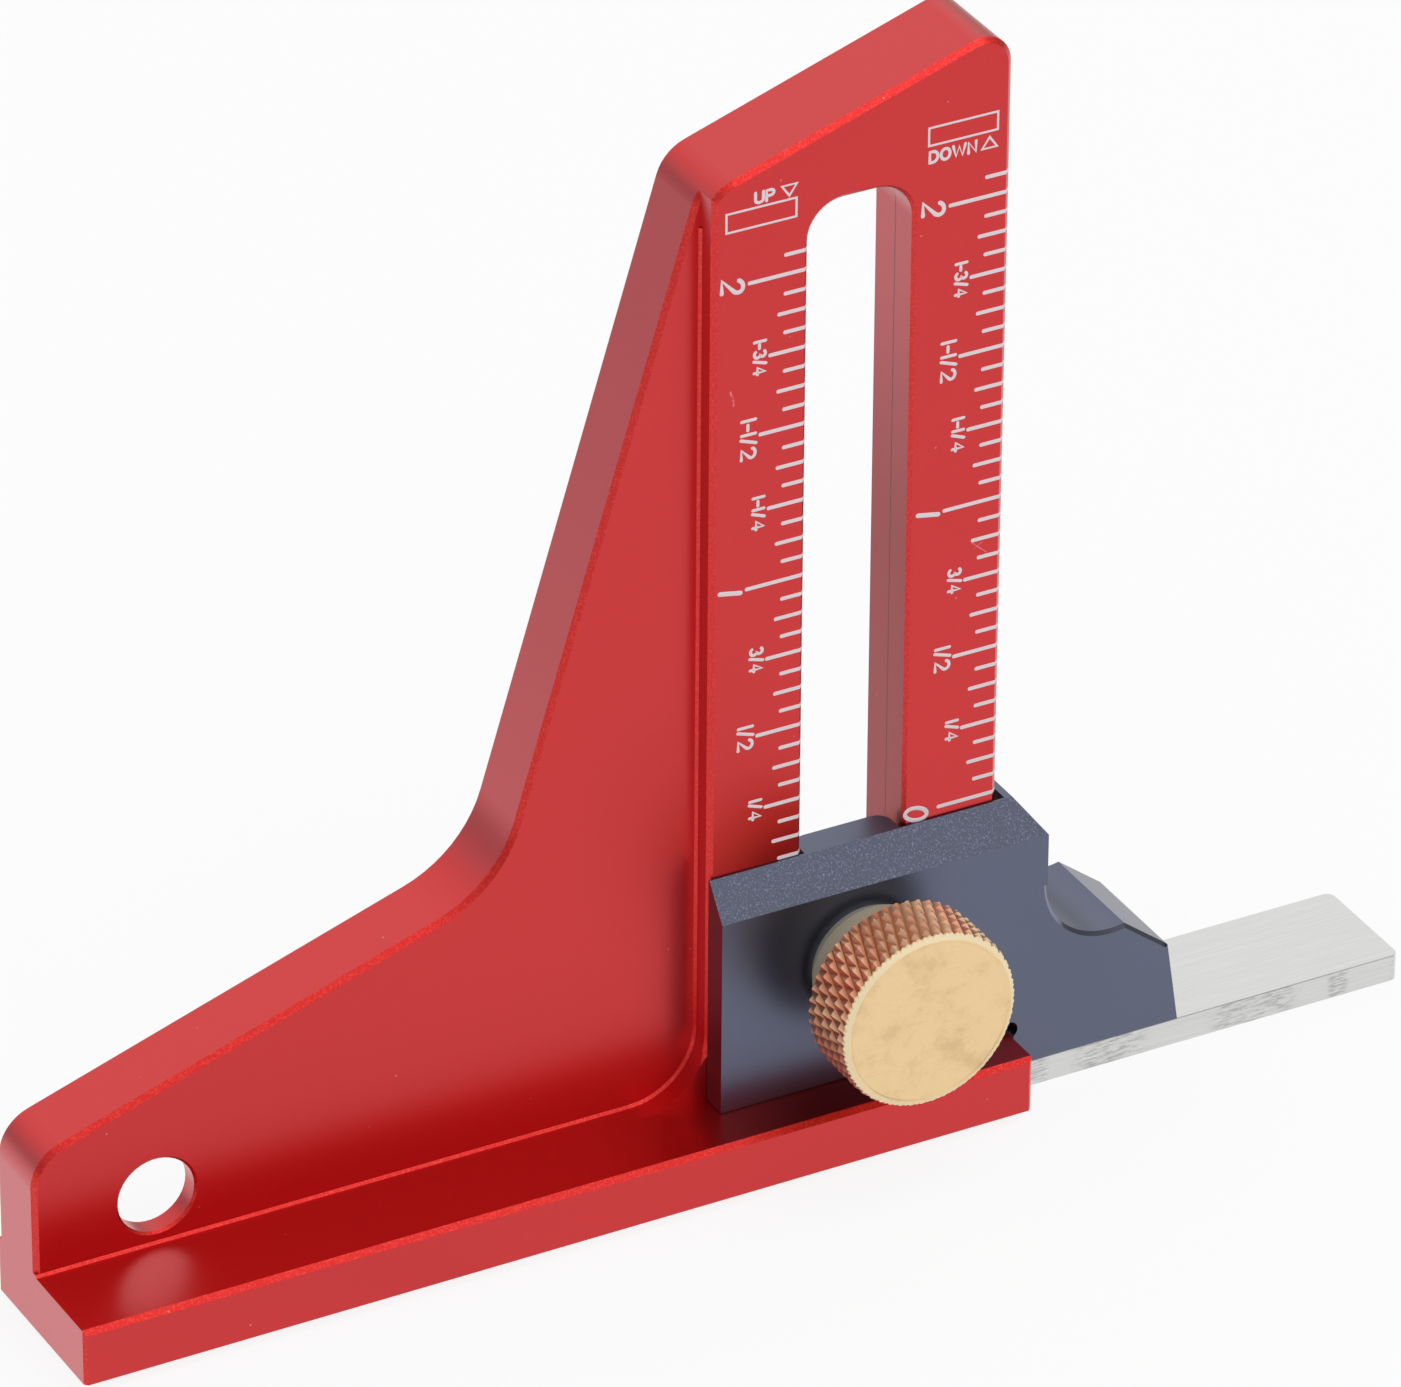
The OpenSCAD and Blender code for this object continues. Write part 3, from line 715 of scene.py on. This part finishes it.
def finish_piece(piece, body, material, stands_for=()):
    """Gives a piece its finish, and the body that carries it."""
    piece.data.materials.clear()
    piece.data.materials.append(material)
    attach(piece, body)
    if stands_for:
        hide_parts(*stands_for)


def turned(name, profile, segments, middle):
    """A turned solid about an axis from front to back, drawn out ring by ring along its profile."""
    clear()
    radius, depth = profile[0]
    bpy.ops.mesh.primitive_circle_add(vertices=segments, radius=radius, fill_type="NGON",
        location=(middle[0], depth, middle[1]), rotation=(math.pi / 2, 0, 0))
    piece = bpy.context.object
    settle(piece)
    start(name)
    bpy.ops.mesh.select_all(action="SELECT")
    for (inner, here), (outer, there) in zip(profile, profile[1:]):
        bpy.ops.mesh.extrude_region_move(TRANSFORM_OT_translate={"value": (0, there - here, 0)})
        if abs(outer - inner) > 1e-9:
            share = outer / inner
            bpy.ops.transform.resize(value=(share, 1, share), center_override=(middle[0], there, middle[1]))
    bpy.ops.mesh.select_all(action="SELECT")
    bpy.ops.mesh.normals_make_consistent(inside=False)
    clear()
    return piece


def arc(middle, radii, first, last, steps=8):
    """Points along part of an ellipse, from one angle to another in degrees."""
    return [(middle[0] + radii[0] * math.cos(math.radians(first + (last - first) * i / steps)),
             middle[1] + radii[1] * math.sin(math.radians(first + (last - first) * i / steps)))
            for i in range(steps + 1)]


def glyph(sign):
    """The strokes of a sign on a cap height of 1, each a list of points, and the sign's width."""
    shapes = {
        "0": ([arc((0.26, 0.5), (0.25, 0.47), 90, 450, 24)], 0.52),
        "1": ([[(0, 0), (0, 1)]], 0),
        "2": ([arc((0.27, 0.72), (0.26, 0.27), 165, -35, 12) + [(0.02, 0), (0.56, 0)]], 0.56),
        "3": ([arc((0.22, 0.745), (0.235, 0.245), 140, -80, 10)
               + arc((0.22, 0.27), (0.27, 0.265), 75, -145, 12)], 0.5),
        "4": ([[(0.4, 0), (0.4, 1), (0, 0.3), (0.54, 0.3)]], 0.54),
        "/": ([[(0, -0.04), (0.3, 1.04)]], 0.3),
        "-": ([[(0, 0.45), (0.3, 0.45)]], 0.3),
        "U": ([[(0, 1)] + arc((0.29, 0.3), (0.29, 0.3), 180, 360, 10) + [(0.58, 1)]], 0.58),
        "P": ([[(0, 0), (0, 1), (0.28, 1)] + arc((0.28, 0.73), (0.26, 0.27), 90, -90, 8)
               + [(0, 0.46)]], 0.54),
        "D": ([[(0, 0), (0, 1), (0.2, 1)] + arc((0.24, 0.5), (0.36, 0.5), 80, -80, 12)
               + [(0.2, 0), (0, 0)]], 0.6),
        "O": ([arc((0.34, 0.5), (0.34, 0.5), 90, 450, 20)], 0.68),
        "W": ([[(0, 1), (0.22, 0), (0.46, 0.9), (0.7, 0), (0.92, 1)]], 0.92),
        "N": ([[(0, 0), (0, 1), (0.56, 0), (0.56, 1)]], 0.56),
    }
    return shapes[sign]


def word(text, height, length, half, lean=0, gap=0.24):
    """The strokes of a word, fitted with its pen's half width into an outer height and length from zero."""
    strokes, reach = [], 0
    for sign in text:
        lines, width = glyph(sign)
        strokes += [[(reach + u + lean * v, v) for u, v in line] for line in lines]
        reach += width + gap
    across = [u for line in strokes for u, v in line]
    rises = [v for line in strokes for u, v in line]
    wide = (length - 2 * half) / (max(across) - min(across))
    tall = (height - 2 * half) / (max(rises) - min(rises))
    return [[(half + (u - min(across)) * wide, half + (v - min(rises)) * tall) for u, v in line]
            for line in strokes]


def drawn(name, lines, stand, face):
    """Lays strokes on a face: each has its points across and up it, half its width, and whether it closes."""
    pipe = 0.1 * MM
    curve = bpy.data.curves.new(name, "CURVE")
    curve.dimensions = "3D"
    curve.bevel_depth = pipe
    curve.bevel_resolution = 3
    curve.use_fill_caps = True
    for points, half, closed in lines:
        full = half / pipe
        path = [(point, full) for point in points]
        if closed:
            meet = (Vector(points[0]) - Vector(points[-1])).length < CLOSE
            path = path[:-1] if meet else path
        else:
            for end, inner in ((0, 1), (-1, -2)):
                tip, near = Vector(points[end]), Vector(points[inner])
                out = (tip - near).normalized()
                rounding = [(tuple(tip + out * half * math.sin(a)), full * math.cos(a))
                    for a in (math.radians(30), math.radians(60), math.radians(85))]
                path = rounding[::-1] + path if end == 0 else path + rounding
        spline = curve.splines.new("POLY")
        spline.points.add(len(path) - 1)
        for knot, (point, radius) in zip(spline.points, path):
            knot.co = (*point, 0, 1)
            knot.radius = radius
        spline.use_cyclic_u = closed
    piece = bpy.data.objects.new(name, curve)
    bpy.context.scene.collection.objects.link(piece)
    only(piece)
    bpy.ops.object.convert(target="MESH")
    piece = bpy.context.object
    bpy.ops.object.mode_set(mode="EDIT")
    bpy.ops.mesh.select_all(action="SELECT")
    widest = max(half for points, half, closed in lines)
    bpy.ops.transform.resize(value=(1, 1, stand / widest), center_override=(0, 0, 0))
    bpy.ops.mesh.normals_make_consistent(inside=False)
    bpy.ops.object.mode_set(mode="OBJECT")
    piece.rotation_euler = (math.pi / 2, 0, 0)
    piece.location = (0, face, 0)
    settle(piece)
    smooth(piece, 50)
    return piece


def scales(marks):
    """Each scale's side, edge, zero height, line lengths, chamfer and first label."""
    return (
        ("right", BODY_HIGH.x, marks.right_zero, marks.right_lengths, marks.edge_break, 0),
        ("left", AXIS_X - marks.slot_width / 2, marks.left_zero, marks.left_lengths, marks.slot_break, 1),
    )


class GAUGE_OT_finishes(bpy.types.Operator):
    """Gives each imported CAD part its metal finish"""

    bl_idname = "gauge.finishes"
    bl_label = "Finish the metal parts"

    def execute(self, context):
        colours = context.scene.gauge_colours
        steel, brass, knurl_shade = tuple(colours.steel), tuple(colours.brass), tuple(colours.knurl_shade)
        dress("body", anodised_red(colours))
        dress("slider", anodised_grey(colours))
        dress("measuring_bar", brushed_bar(colours))
        dress("bar_screws", plain_metal("screw_steel", mix(steel, SCREW_DARK, 0.4), turned=False))
        dress("clamp_washer", plain_metal("washer_steel", WASHER_DULL, metal=0.4))
        dress("clamp_nut", plain_metal("nut_brass", mix(brass, knurl_shade, 0.3), turned=False))
        return {"FINISHED"}


class GAUGE_OT_scale_lines(bpy.types.Operator):
    """Prints the sixteenths of an inch along the column's right edge and the slot's left edge"""

    bl_idname = "gauge.scale_lines"
    bl_label = "Print the scale lines"

    def line(self, marks, length, fold):
        """One line, round at its inner end and folded over the edge's chamfer, with its outer end at zero."""
        clear()
        flat = length - fold
        bpy.ops.mesh.primitive_plane_add(size=1)
        piece = start("line")
        bpy.ops.mesh.select_all(action="SELECT")
        bpy.ops.transform.resize(value=(flat, marks.line_width, 1))
        bpy.ops.transform.translate(value=(-fold - flat / 2, 0, 0))
        pick(piece, lambda place: place.x < -fold - flat / 2)
        bpy.ops.mesh.bevel(offset=marks.line_width * 0.48, segments=5, affect="VERTICES")
        pick(piece, lambda place: abs(place.x + fold) < CLOSE, "EDGE")
        bpy.ops.mesh.extrude_region_move(TRANSFORM_OT_translate={"value": (fold, 0, -fold)})
        bpy.ops.object.mode_set(mode="OBJECT")
        apply(piece, "SOLIDIFY", thickness=marks.stand * 2, offset=0)
        piece.rotation_euler = (math.pi / 2, 0, 0)
        settle(piece)
        return piece

    def execute(self, context):
        marks = context.scene.gauge_marks
        material = bpy.data.materials["printed_white"]
        for side, edge, zero, lengths, fold, first in scales(marks):
            lines = {step: self.line(marks, length, fold) for step, length in zip(STEPS_OF_LINES, lengths)}
            made = []
            for i in range(marks.divisions + 1):
                step = next(s for s in lines if i % s == 0)
                made.append(copied(lines[step], (edge, marks.face, zero + i * SIXTEENTH)))
            finish_piece(gather("scale_lines_" + side, made), "frame", material)
            for piece in lines.values():
                bpy.data.objects.remove(piece)
        return {"FINISHED"}


class GAUGE_OT_numbers(bpy.types.Operator):
    """Prints the numbers beside the quarter inch lines, read downwards"""

    bl_idname = "gauge.numbers"
    bl_label = "Print the numbers"

    def execute(self, context):
        marks = context.scene.gauge_marks
        material = bpy.data.materials["printed_white"]
        for side, edge, zero, reaches, fold, first in scales(marks):
            lines = []
            for text, place, height, length, gap, shift, half, lean in LABELS[first:]:
                reach = next(reach for step, reach in zip(STEPS_OF_LINES, reaches) if place % step == 0)
                foot = edge - reach - (gap + height) * MM
                high = zero + place * SIXTEENTH + (shift + length / 2) * MM
                for points in word(text, height * MM, length * MM, half * MM, lean):
                    laid = [(foot + v, high - u) for u, v in points]
                    lines.append((laid, half * MM, text == "0"))
            piece = drawn("numbers_" + side, lines, marks.stand, marks.face)
            finish_piece(piece, "frame", material)
        return {"FINISHED"}


class GAUGE_OT_signs(bpy.types.Operator):
    """Prints the two windows that say which scale reads up and which reads down"""

    bl_idname = "gauge.signs"
    bl_label = "Print the reading signs"

    def execute(self, context):
        marks = context.scene.gauge_marks
        material = bpy.data.materials["printed_white"]
        for name, text, window, words, arrow, upwards in SIGNS:
            lines = []
            left, right, foot, head = (size * MM + inset for size, inset in zip(window, PEN_INSET))
            left, right = LEFT + left, LEFT + right
            lines.append(([(left, foot), (right, foot), (right, head), (left, head)], PEN * MM, True))
            left, right, foot, head = (size * MM for size in words)
            for points in word(text, head - foot, right - left, PEN * MM):
                lines.append(([(LEFT + left + u, foot + v) for u, v in points], PEN * MM, False))
            left, right, foot, head = (size * MM + inset for size, inset in zip(arrow, PEN_INSET))
            tip, flat = (head, foot) if upwards else (foot, head)
            lines.append(([(LEFT + left, flat), (LEFT + right, flat), (LEFT + (left + right) / 2, tip)],
                ARROW_PEN * MM, True))
            piece = drawn(name, lines, marks.stand, marks.face)
            finish_piece(piece, "frame", material)
        return {"FINISHED"}


class GAUGE_OT_knob(bpy.types.Operator):
    """Turns the clamp knob and rolls its diamond knurl"""

    bl_idname = "gauge.knob"
    bl_label = "Knurl the clamp knob"

    def roll(self, name, sizes, radius, depth, low, high, hand):
        """A long gear with one groove for each diamond, twisted to one hand."""
        clear()
        bpy.ops.mesh.primitive_circle_add(vertices=2 * sizes.teeth, radius=radius + sizes.tips,
            fill_type="NGON", location=(AXIS_X, low, AXIS_Z), rotation=(math.pi / 2, 0, 0))
        piece = bpy.context.object
        settle(piece)
        start(name)
        middle = Vector((AXIS_X, low, AXIS_Z))
        pitch = math.pi / sizes.teeth
        pick(piece, lambda place: round(math.atan2(place.z - middle.z, place.x - middle.x) / pitch) % 2 == 0)
        share = (radius - depth) / (radius + sizes.tips)
        bpy.ops.transform.resize(value=(share, 1, share), center_override=middle)
        bpy.ops.mesh.select_all(action="SELECT")
        steps = 8
        rise = (high - low) / steps
        twist = hand * rise * math.tan(sizes.helix) / radius
        for i in range(steps):
            bpy.ops.mesh.extrude_region_move(TRANSFORM_OT_translate={"value": (0, rise, 0)})
            bpy.ops.transform.rotate(value=twist, orient_axis="Y", center_override=middle)
        bpy.ops.mesh.select_all(action="SELECT")
        bpy.ops.mesh.normals_make_consistent(inside=False)
        clear()
        return piece

    def execute(self, context):
        sizes = context.scene.gauge_knob
        material = turned_brass(context.scene.gauge_colours, sizes)
        radius = (KNOB_HIGH.x - KNOB_LOW.x) / 2
        front, back = KNOB_LOW.y, KNOB_HIGH.y
        head_back = front + sizes.head
        hub = sizes.hub / 2
        axis = (AXIS_X, AXIS_Z)
        inner = radius - sizes.rim
        # The face is sunk a little inside a narrow lip
        sunk, face = front + sizes.face_depth, inner - sizes.lip
        knob = turned("clamp_knob_knurled", [
            (face, sunk), (face + CLOSE, sunk), (inner - sizes.lip * 0.75, front), (inner, front),
            (radius, front + sizes.rim_depth), (radius, head_back - sizes.back_rim),
            (radius - sizes.back_rim, head_back)], 192, axis)
        spare = 0.2 * MM
        low, high = front - spare, head_back + spare
        cut(knob, self.roll("deep_roll", sizes, radius, sizes.depth, low, high, -1), "INTERSECT")
        cut(knob, self.roll("cross_roll", sizes, radius, sizes.cross_depth, low, high, 1), "INTERSECT")
        lap, hub_break, play = 0.5 * MM, 0.1 * MM, 0.02 * MM
        cut(knob, turned("hub", [(hub, head_back - lap), (hub, back - hub_break), (hub - hub_break, back)],
            96, axis), "UNION")
        bore = (STUD_HIGH.x - STUD_LOW.x) / 2 + play
        cut(knob, turned("bore", [(bore, STUD_LOW.y - play), (bore, back + lap)], 64, axis), "DIFFERENCE")
        smooth(knob, 24)
        finish_piece(knob, "knob", material, ("clamp_knob",))
        return {"FINISHED"}


class GAUGE_OT_stud(bpy.types.Operator):
    """Cuts the thread of the clamp stud"""

    bl_idname = "gauge.stud"
    bl_label = "Thread the clamp stud"

    def execute(self, context):
        sizes = context.scene.gauge_knob
        radius = (STUD_HIGH.x - STUD_LOW.x) / 2
        low, high = STUD_LOW.y, STUD_HIGH.y
        # How far the turns run on past both ends and into the core, and the width of the end chamfers
        spare, foot, end_break = 0.2 * MM, 0.06 * MM, 0.4 * MM
        clear()
        bpy.ops.mesh.primitive_circle_add(vertices=4, radius=sizes.pitch / 2, fill_type="NOTHING")
        stud = start("clamp_stud_threaded")
        pick(stud, lambda place: place.x < -CLOSE)
        bpy.ops.mesh.delete(type="VERT")
        bpy.ops.mesh.select_all(action="SELECT")
        share = (sizes.thread + foot) / (sizes.pitch / 2)
        bpy.ops.transform.resize(value=(share, 1, 1), center_override=(0, 0, 0))
        bpy.ops.transform.translate(value=(radius - sizes.thread, low - 1.5 * sizes.pitch, 0))
        turns = math.ceil((high - low) / sizes.pitch) + 3
        apply(stud, "SCREW", axis="Y", angle=math.tau, screw_offset=sizes.pitch, iterations=turns,
            steps=32, render_steps=32)
        stud.location = (AXIS_X, 0, AXIS_Z)
        settle(stud)
        bpy.ops.object.mode_set(mode="EDIT")
        bpy.ops.mesh.select_all(action="SELECT")
        bpy.ops.mesh.remove_doubles(threshold=1e-7)
        for height, way in ((low - spare, -1), (high + spare, 1)):
            bpy.ops.mesh.select_all(action="SELECT")
            bpy.ops.mesh.bisect(plane_co=(0, height, 0), plane_no=(0, way, 0), use_fill=True,
                clear_outer=True)
        bpy.ops.mesh.select_all(action="SELECT")
        bpy.ops.mesh.normals_make_consistent(inside=False)
        blank = turned("blank", [(radius - end_break, low), (radius, low + end_break),
            (radius, high - end_break), (radius - end_break, high)], 64, (AXIS_X, AXIS_Z))
        cut(stud, blank, "INTERSECT")
        smooth(stud, 30)
        finish_piece(stud, "knob", plain_metal("stud_steel", tuple(context.scene.gauge_colours.steel)),
            ("clamp_stud",))
        return {"FINISHED"}


class GAUGE_OT_stage(bpy.types.Operator):
    """Sets the floor, the room, the lamp and the camera"""

    bl_idname = "gauge.stage"
    bl_label = "Set the stage"

    def floor(self, stage, height):
        """A pale floor that shows white to the camera and keeps the part's shadow."""
        clear()
        bpy.ops.mesh.primitive_plane_add(size=stage.floor_size, location=(0, 0, height))
        piece = bpy.context.object
        piece.name = "floor"
        made = Finish("pale_floor")
        mottle = made.noise(0.004, 2, 0.5)
        made.set(Base_Color=made.tint(tuple(stage.floor_colour), 0.99 + 0.02 * mottle), Roughness=0.9,
            Specular_IOR_Level=0.1)
        seen = made.node("ShaderNodeLightPath", output="Is Camera Ray")
        mirrored = made.node("ShaderNodeLightPath", output="Is Glossy Ray")
        x, y, z = made.axes(made.place)
        glow = made.tree.nodes.new("ShaderNodeEmission")
        # Mirrored in the metal, the floor gets darker towards the back
        darker = made.ramp(y, -60, 300, 0.03, 0.4) * mirrored
        made.join(glow.inputs["Color"], made.tint((1, 1, 1), 1 - darker))
        both = made.tree.nodes.new("ShaderNodeMixShader")
        made.join(both.inputs[0], seen * stage.floor_white + mirrored * stage.floor_mirrored)
        made.tree.links.new(made.shader.outputs[0], both.inputs[1])
        made.tree.links.new(glow.outputs[0], both.inputs[2])
        made.tree.links.new(both.outputs[0], made.tree.nodes["Material Output"].inputs["Surface"])
        piece.data.materials.append(made.material)

    def lamp(self, stage):
        """A soft square lamp turned to the part."""
        clear()
        bpy.ops.object.light_add(type="AREA", location=tuple(stage.lamp_place))
        lamp = bpy.context.object
        lamp.name = "key_lamp"
        lamp.data.size = stage.lamp_size
        lamp.data.energy = stage.lamp_power
        ahead = Vector(stage.lamp_target) - Vector(stage.lamp_place)
        lamp.rotation_euler = ahead.to_track_quat("-Z", "Y").to_euler()

    def world(self, stage):
        """Even light all round, white for the camera, and for the metal a room that is darker in front."""
        world = bpy.data.worlds.new("room")
        bpy.context.scene.world = world
        world.use_nodes = True
        made = Nodes(world.node_tree)
        side, front, up = made.axes(made.node("ShaderNodeTexCoord", output="Generated"))
        behind = made.ramp(front, -0.5, 0.3)
        above = made.ramp(up, 0.1, 0.6)
        overhead = made.ramp(up, 0.6, 0.8)
        room = 0.4 + (0.3 + 0.3 * behind) * above + 0.25 * (1 - behind) * overhead
        mirrored = made.node("ShaderNodeLightPath", output="Is Glossy Ray")
        seen = made.node("ShaderNodeLightPath", output="Is Camera Ray")
        strength = stage.world_strength + (room - stage.world_strength) * mirrored
        background = made.tree.nodes["Background"]
        made.join(background.inputs["Strength"], strength + (1 - strength) * seen)
        background.inputs["Color"].default_value = (1, 1, 1, 1)

    def camera(self, stage):
        """The camera, at the photograph's viewing angle."""
        clear()
        bpy.ops.object.camera_add(location=tuple(stage.eye))
        camera = bpy.context.object
        camera.name = "camera"
        ahead = Vector((math.sin(stage.azimuth) * math.cos(stage.elevation),
            math.cos(stage.azimuth) * math.cos(stage.elevation), -math.sin(stage.elevation)))
        turn = ahead.to_track_quat("-Z", "Y").to_matrix() @ Matrix.Rotation(-stage.roll, 3, "Z")
        camera.rotation_euler = turn.to_euler()
        camera.data.lens = stage.lens
        camera.data.sensor_width = 36
        camera.data.clip_start = 10 * MM
        camera.data.clip_end = 20
        return camera

    def execute(self, context):
        stage = context.scene.gauge_stage
        self.floor(stage, cad_bounds[0].z)
        self.world(stage)
        self.lamp(stage)
        context.scene.camera = self.camera(stage)
        context.scene.view_settings.view_transform = "Standard"
        clear()
        return {"FINISHED"}


class GAUGE_PT_panel(bpy.types.Panel):
    """Lists the steps that dress the gauge"""

    bl_idname = "GAUGE_PT_panel"
    bl_label = "Height gauge"
    bl_space_type = "VIEW_3D"
    bl_region_type = "UI"
    bl_category = "Gauge"

    def draw(self, context):
        for step in STEPS:
            self.layout.operator(step.bl_idname)
        for group in ("gauge_marks", "gauge_knob", "gauge_colours", "gauge_stage"):
            box = self.layout.box()
            held = getattr(context.scene, group)
            for key in held.__annotations__:
                box.prop(held, key)


GROUPS = {
    "gauge_marks": GaugeMarks,
    "gauge_knob": GaugeKnob,
    "gauge_colours": GaugeColours,
    "gauge_stage": GaugeStage,
}
STEPS = (
    GAUGE_OT_finishes,
    GAUGE_OT_scale_lines,
    GAUGE_OT_numbers,
    GAUGE_OT_signs,
    GAUGE_OT_knob,
    GAUGE_OT_stud,
    GAUGE_OT_stage,
)


def register():
    """Makes the sizes, the steps and the panel known to Blender."""
    for kind in (*GROUPS.values(), *STEPS, GAUGE_PT_panel):
        bpy.utils.register_class(kind)
    for name, kind in GROUPS.items():
        setattr(bpy.types.Scene, name, bpy.props.PointerProperty(type=kind))


def unregister():
    """Takes the panel, the steps and the sizes away again."""
    for name in GROUPS:
        delattr(bpy.types.Scene, name)
    for kind in reversed((*GROUPS.values(), *STEPS, GAUGE_PT_panel)):
        bpy.utils.unregister_class(kind)


def main():
    """Dresses the gauge step by step."""
    register()
    printed_white(bpy.context.scene.gauge_colours)
    bpy.ops.gauge.finishes()
    bpy.ops.gauge.scale_lines()
    bpy.ops.gauge.numbers()
    bpy.ops.gauge.signs()
    bpy.ops.gauge.knob()
    bpy.ops.gauge.stud()
    bpy.ops.gauge.stage()


if __name__ == "__main__":
    main()
